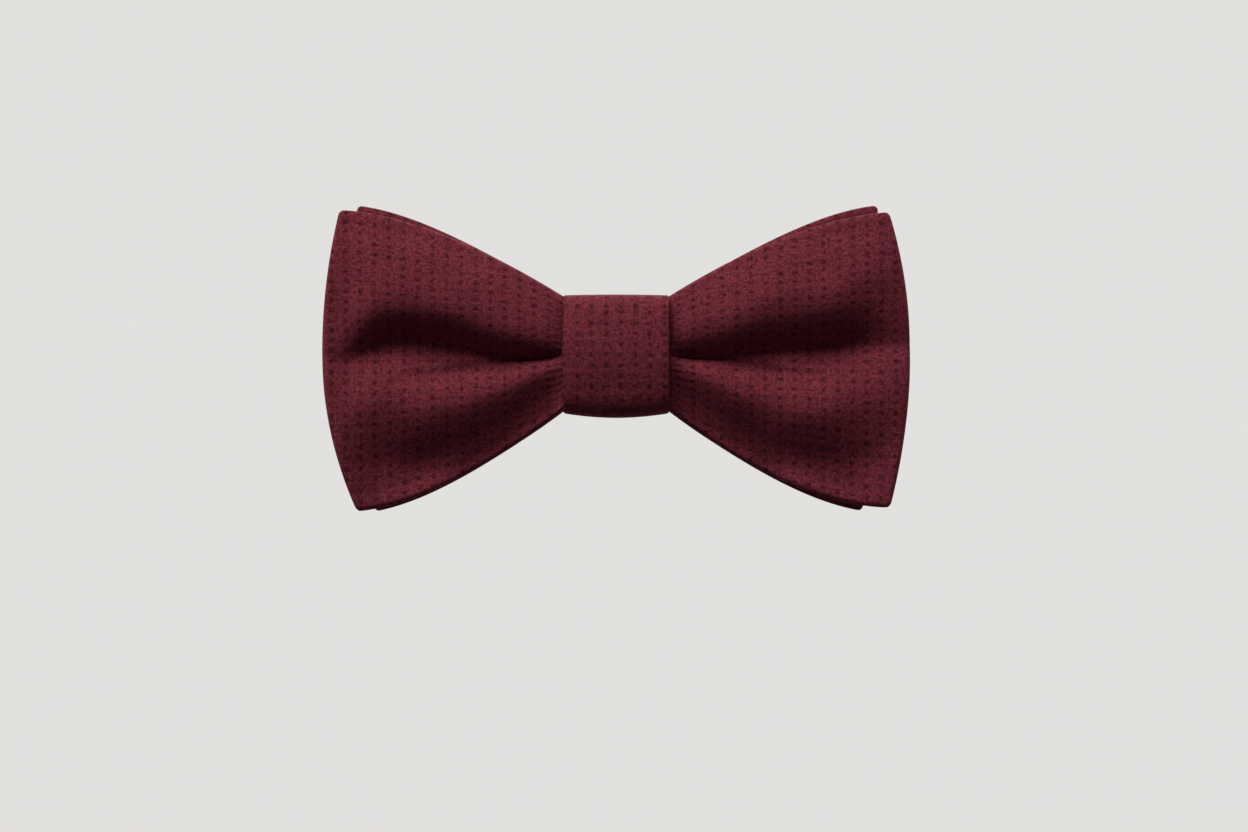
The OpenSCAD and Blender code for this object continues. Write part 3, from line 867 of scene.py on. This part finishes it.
def nickel_plate():
    """Bright nickel plate with fine drawing marks and a few dull patches."""
    material, tree, shader = new_material("nickel_plate")
    place = object_coordinates(tree)
    marks = noise(tree, stretch(tree, place, (900.0, 900.0, 9000.0)), 1.0, 3.0)
    patches = noise(tree, place, 320.0, 3.0, 0.6)
    colour = two_tone(tree, patches, 0.35, 0.7, (0.60, 0.58, 0.54), (0.74, 0.73, 0.70))
    tree.links.new(colour, shader.inputs["Base Color"])
    shader.inputs["Metallic"].default_value = 1.0
    dull = to_range(tree, patches, 0.3, 0.75, 0.20, 0.36)
    rough = math(tree, "ADD", dull, math(tree, "MULTIPLY", marks, 0.08))
    tree.links.new(rough, shader.inputs["Roughness"])
    bump(tree, shader, marks, 0.00001, 0.5)
    return material


def pale_floor():
    """Matt pale grey with a faint grain."""
    material, tree, shader = new_material("pale_floor")
    place = object_coordinates(tree)
    grain = noise(tree, place, 60.0, 4.0)
    colour = two_tone(tree, grain, 0.3, 0.7, (0.66, 0.655, 0.645), (0.70, 0.695, 0.685))
    tree.links.new(colour, shader.inputs["Base Color"])
    shader.inputs["Roughness"].default_value = 0.95
    return material


def backdrop_glow():
    """Even pale light that only the camera sees."""
    material = bpy.data.materials.new("backdrop_glow")
    material.use_nodes = True
    tree = material.node_tree
    tree.nodes.clear()
    output = tree.nodes.new("ShaderNodeOutputMaterial")
    glow = tree.nodes.new("ShaderNodeEmission")
    glow.inputs["Color"].default_value = (0.80, 0.79, 0.775, 1.0)
    glow.inputs["Strength"].default_value = 0.95
    tree.links.new(glow.outputs["Emission"], output.inputs["Surface"])
    return material


cloth = burgundy_cloth()
canvas = interlining_canvas()
thread = sewing_thread()
nickel = nickel_plate()


def finish_piece(piece, material, replaces, body=None, bend=None):
    """Gives a piece its material and hides the CAD nodes that it stands for. It rides on its body, or,
    given a bend, is baked in place.

    body is the body that it rides on. bend is (body before, body after, start, end); its contents are
    not used.
    """
    piece.data.materials.append(material)
    if replaces:
        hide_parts(*replaces)
    if bend:
        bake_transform(piece)
    else:
        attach(piece, body)
    return piece


# ---------- bows and knot ----------

# Each bow's name and sizes, and its canvas's cut area against the cloth's
for bow_name, bow, cut_area in (("front_bow", front_bow, 0.0066), ("rear_bow", rear_bow, 0.0056)):
    for part, side in (("face", 1), ("back", -1)):
        piece = bow_cloth(f"{bow_name}_{part}_cloth", bow, side)
        finish_piece(piece, cloth, [f"{bow_name}_{part}"], body="bow")
    piece = bow_canvas(f"{bow_name}_canvas", bow)
    finish_piece(piece, canvas, [f"{bow_name}_interlining"], body="bow")

knot_line = knot_loop()
knot_core_w = 19.4
knot_core = [(a, o + knot_t / 2, c) for a, o, c in plain_section(knot_core_w, 0.3, 14)]
knot_fold = folded_section(2 * knot_half_w, knot_t, 0.32, 0.08, 0.0)
for name, section, material, slot, stands_for, width in (
    ("knot_wrap", knot_fold, cloth, "burgundy_cloth", "knot_wrap", 4 * knot_half_w),
    ("knot_canvas", knot_core, canvas, "interlining", "knot_interlining", knot_core_w),
):
    piece = sweep(name + "_strip", section, knot_line, (-1, 0, 0), closed=True, shape=shape_knot)
    finish_piece(piece, material, [stands_for], body="bow")

# ---------- neck band ----------


def metres(x, y, z=0.0):
    return (mm(x), mm(y), mm(z))


# Where a stretch of the strap starts to bend at its flex line and where it has bent. The first
# bend starts on the straight stretch behind the bow, this far from the middle.
lead_x = 12.5
first_bend_end = 44.4
mid_angles = (49.0, 91.0)
last_bend = (101.5, 122.5)


def loop_point(side, angle):
    """Point in the middle of the strap's thickness, in metres."""
    x, y = on_loop(neck_r + band_t / 2, angle)
    return metres(side * x, y)


def lead_point(side):
    """Point on the straight stretch of the strap, where its bend at the first flex line starts."""
    return metres(side * lead_x, -centre_line(lead_x))


def fold_path(side, rising, tab):
    """Inner line of a strap's end: out over the closure's bar and back along the loop for tab degrees.

    The line is the face that touches the bar, so the strap lies outside it all the way round.
    """
    bar_y = (fold_r**2 - bar_x**2) ** 0.5
    points = [(x, y) for x, y, _ in loop_path(1, mid_angles[1], fold_angle, rising)]
    for a in np.radians(np.linspace(fold_angle - 90, fold_angle + 90, 19)[1:-1]):
        points.append((bar_x + band_t / 2 * cos(a), bar_y + band_t / 2 * sin(a)))
    tab_steps = max(2, int(tab / 1.1))
    points += [on_loop(neck_r + band_t, fold_angle - a) for a in np.linspace(0, tab, tab_steps)]
    return [(side * x, y, 0) for x, y in points]


# The angles between which each side's strap steps out, and the length of its folded end in degrees
right_rising = (113.0, 122.0)
left_rising = (148.0, 156.0)
right_tab = 0.35
left_tab = 9.0
# The canvas stops this many degrees before the fold over the closure's bar
core_short = 3.5

for side, hand, rising, tab in (
    (1, "right", right_rising, right_tab),
    (-1, "left", left_rising, left_tab),
):
    front, sides, back = f"band_{hand}_front", f"band_{hand}_side", f"band_{hand}_back"
    first_bend = ("bow", front, lead_point(side), loop_point(side, first_bend_end))
    mid_bend = (front, sides, *(loop_point(side, a) for a in mid_angles))
    back_bend = (sides, back, *(loop_point(side, a) for a in last_bend))
    parts = (
        ("front", front_path(side, mid_angles[0]), first_bend),
        ("side", loop_path(side, *mid_angles), mid_bend),
        ("back", fold_path(side, rising, tab), back_bend),
    )
    for part, path, bend in parts:
        node_name = f"band_{hand}_{part}"
        # both front pieces stand for half of the CAD band's centre too
        centre = ["band_centre_"] if part == "front" else []
        stands_for = [f"{start}sleeve" for start in [f"{node_name}_"] + centre]
        sleeve = strap(f"{node_name}_cloth", side, path, band_fold)
        finish_piece(sleeve, cloth, stands_for, bend=bend)
        stands_for = [f"{start}interlining" for start in [f"{node_name}_"] + centre]
        core_path = path
        if part == "back":
            core_path = loop_path(side, mid_angles[1], fold_angle - core_short, rising)
        core = strap(f"{node_name}_canvas", side, core_path, band_core)
        finish_piece(core, canvas, stands_for, bend=bend)

# Width of the single cloth that goes round the slide's bar
loop_w = 15.6

hook_end, slide_end = loop_point(1, fold_angle - 0.2), loop_point(1, tail_start)
tail_bend = ("band_right_back", "slide_adjuster", hook_end, slide_end)
tail = strap("band_tail_cloth", 1, loop_path(1, tail_start, fold_angle - 0.4), band_fold)
finish_piece(tail, cloth, ["band_tail_sleeve"], bend=tail_bend)
tail_core_path = loop_path(1, tail_start + 1.2, fold_angle - core_short)
tail_core = strap("band_tail_canvas", 1, tail_core_path, band_core)
finish_piece(tail_core, canvas, ["band_tail_interlining"], bend=tail_bend)


def slide_loop_path():
    """Middle line of the tail's end: under the slide's middle bar, round it and back over the tail."""
    bar_r = 59.85
    # distance of the cloth's middle from the bar's, and of its ends from the tail's two sides
    wrap_r = 0.65
    clear = 0.2
    points = [on_loop(neck_r + clear, a) for a in np.linspace(137.4, slide_angle - 0.4, 8)]
    nose = on_loop(bar_r, slide_angle - 0.55)
    for a in np.linspace(0, 180, 11)[1:-1]:
        turn = radians(slide_angle + 90 + a)
        points.append((nose[0] + wrap_r * cos(turn), nose[1] + wrap_r * sin(turn)))
    for a in np.linspace(slide_angle - 0.4, slide_angle + 6.6, 14):
        down = float(smooth((a - slide_angle - 0.8) / 2.4))
        points.append(on_loop(mix(bar_r + wrap_r, neck_r + band_t + clear, down), a))
    return [(x, y, 0) for x, y in points]


loop_strip = strap("slide_loop_cloth", 1, slide_loop_path(), plain_section(loop_w, 0.36, 14))
finish_piece(loop_strip, cloth, ["slide_loop"], body="slide_adjuster")

# ---------- stitches ----------


def upright_row(side, r, angle, count, pitch, half_length):
    """Stitches one above the other on a strap whose surface has radius r."""
    x, y = on_loop(1.0, angle)
    out = (side * x, y, 0)
    for k in range(count):
        middle = (r * out[0], r * out[1], (k - (count - 1) / 2) * pitch)
        yield middle, (0, 0, half_length), out


thread_r = 0.14
seam_slant = radians(70)
seam_way = (sin(seam_slant), 0, cos(seam_slant))
seam_places = [((0, -knot_back + 0.02, (k - 4) * 2.0), seam_way, (0, 1, 0)) for k in range(9)]
eye_places = [p for a in (4.5, 6.0) for p in upright_row(-1, 62.02, fold_angle - a, 5, 2.7, 1.0)]
loop_places = [p for a in (4.6, 5.8) for p in upright_row(1, 60.4, slide_angle + a, 5, 2.7, 1.0)]
for name, places, body in (
    ("knot_seam_stitches", seam_places, "bow"),
    ("eye_tack_stitches", eye_places, "band_left_back"),
    ("slide_loop_stitches", loop_places, "slide_adjuster"),
):
    piece = stitches(name + "_thread", places, thread_r)
    finish_piece(piece, thread, [name], body=body)

# ---------- CAD nodes that stay ----------


def keep_node(name, material, bevel):
    """Shows a CAD node with a finished material and softened edges."""
    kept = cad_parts[name]
    for slot in kept.material_slots:
        slot.material = material
    weld = kept.modifiers.new("weld", "WELD")
    weld.merge_threshold = mm(0.02)
    round_edges = kept.modifiers.new("round_edges", "BEVEL")
    round_edges.width = mm(bevel)
    round_edges.segments = 2
    round_edges.angle_limit = radians(35)


for name, bevel in (("slide", 0.06), ("hook", 0.1), ("eye", 0.16)):
    keep_node(name, nickel, bevel)
keep_node("gathering_thread", thread, 0.1)

# ---------- stage ----------

# The camera looks level along +Y, as the photographed bow is seen
camera_data = bpy.data.cameras.new("camera")
camera_data.lens = 120
camera_data.sensor_width = 36
camera = bpy.data.objects.new("camera", camera_data)
camera.location = (0.0016, -0.918, -0.0126)
camera.rotation_euler = (radians(90), 0, 0)
bpy.context.scene.collection.objects.link(camera)
bpy.context.scene.camera = camera

bow_middle = Vector((0, -0.068, 0))


def area_light(name, place, size, power):
    """A white rectangular light, turned to the bow."""
    data = bpy.data.lights.new(name, "AREA")
    data.shape = "RECTANGLE"
    data.size, data.size_y = size
    data.energy = power
    light = bpy.data.objects.new(name, data)
    light.location = place
    light.rotation_euler = (bow_middle - Vector(place)).to_track_quat("-Z", "Y").to_euler()
    bpy.context.scene.collection.objects.link(light)


area_light("key", (-0.32, -0.70, 1.04), (0.85, 0.6), 14.5)
area_light("bounce", (0.1, -0.9, -0.7), (1.0, 0.6), 4.2)
area_light("back", (0.2, 1.1, 0.8), (0.9, 0.6), 9)
for side in (-1, 1):
    area_light(f"side_{side}", (1.0 * side, 0.25, 0.45), (0.7, 0.7), 5)

world = bpy.data.worlds.new("studio")
bpy.context.scene.world = world
world.use_nodes = True
world.node_tree.nodes["Background"].inputs["Color"].default_value = (1.0, 0.99, 0.97, 1.0)
world.node_tree.nodes["Background"].inputs["Strength"].default_value = 0.03

# The floor is a disc, in millimetres, and the backdrop is a dome round the whole scene, in metres
floor_z = -250
floor_r = 900
floor_sides = 96
dome_r = 6.0
turns = [2 * pi * k / floor_sides for k in range(floor_sides)]
ring = [(floor_r * cos(a), floor_r * sin(a), floor_z) for a in turns]
floor = make_piece("floor", ring, [tuple(range(floor_sides))])
floor.data.materials.append(pale_floor())
floor.visible_diffuse = False

dome_mesh = bpy.data.meshes.new("backdrop")
dome = bpy.data.objects.new("backdrop", dome_mesh)
bpy.context.scene.collection.objects.link(dome)
shape = bmesh.new()
bmesh.ops.create_uvsphere(shape, u_segments=64, v_segments=32, radius=dome_r)
shape.to_mesh(dome_mesh)
shape.free()
dome.data.materials.append(backdrop_glow())
dome.visible_diffuse = False
dome.visible_glossy = False
dome.visible_transmission = False
dome.visible_shadow = False
dome.visible_volume_scatter = False

bpy.context.scene.view_settings.view_transform = "Standard"
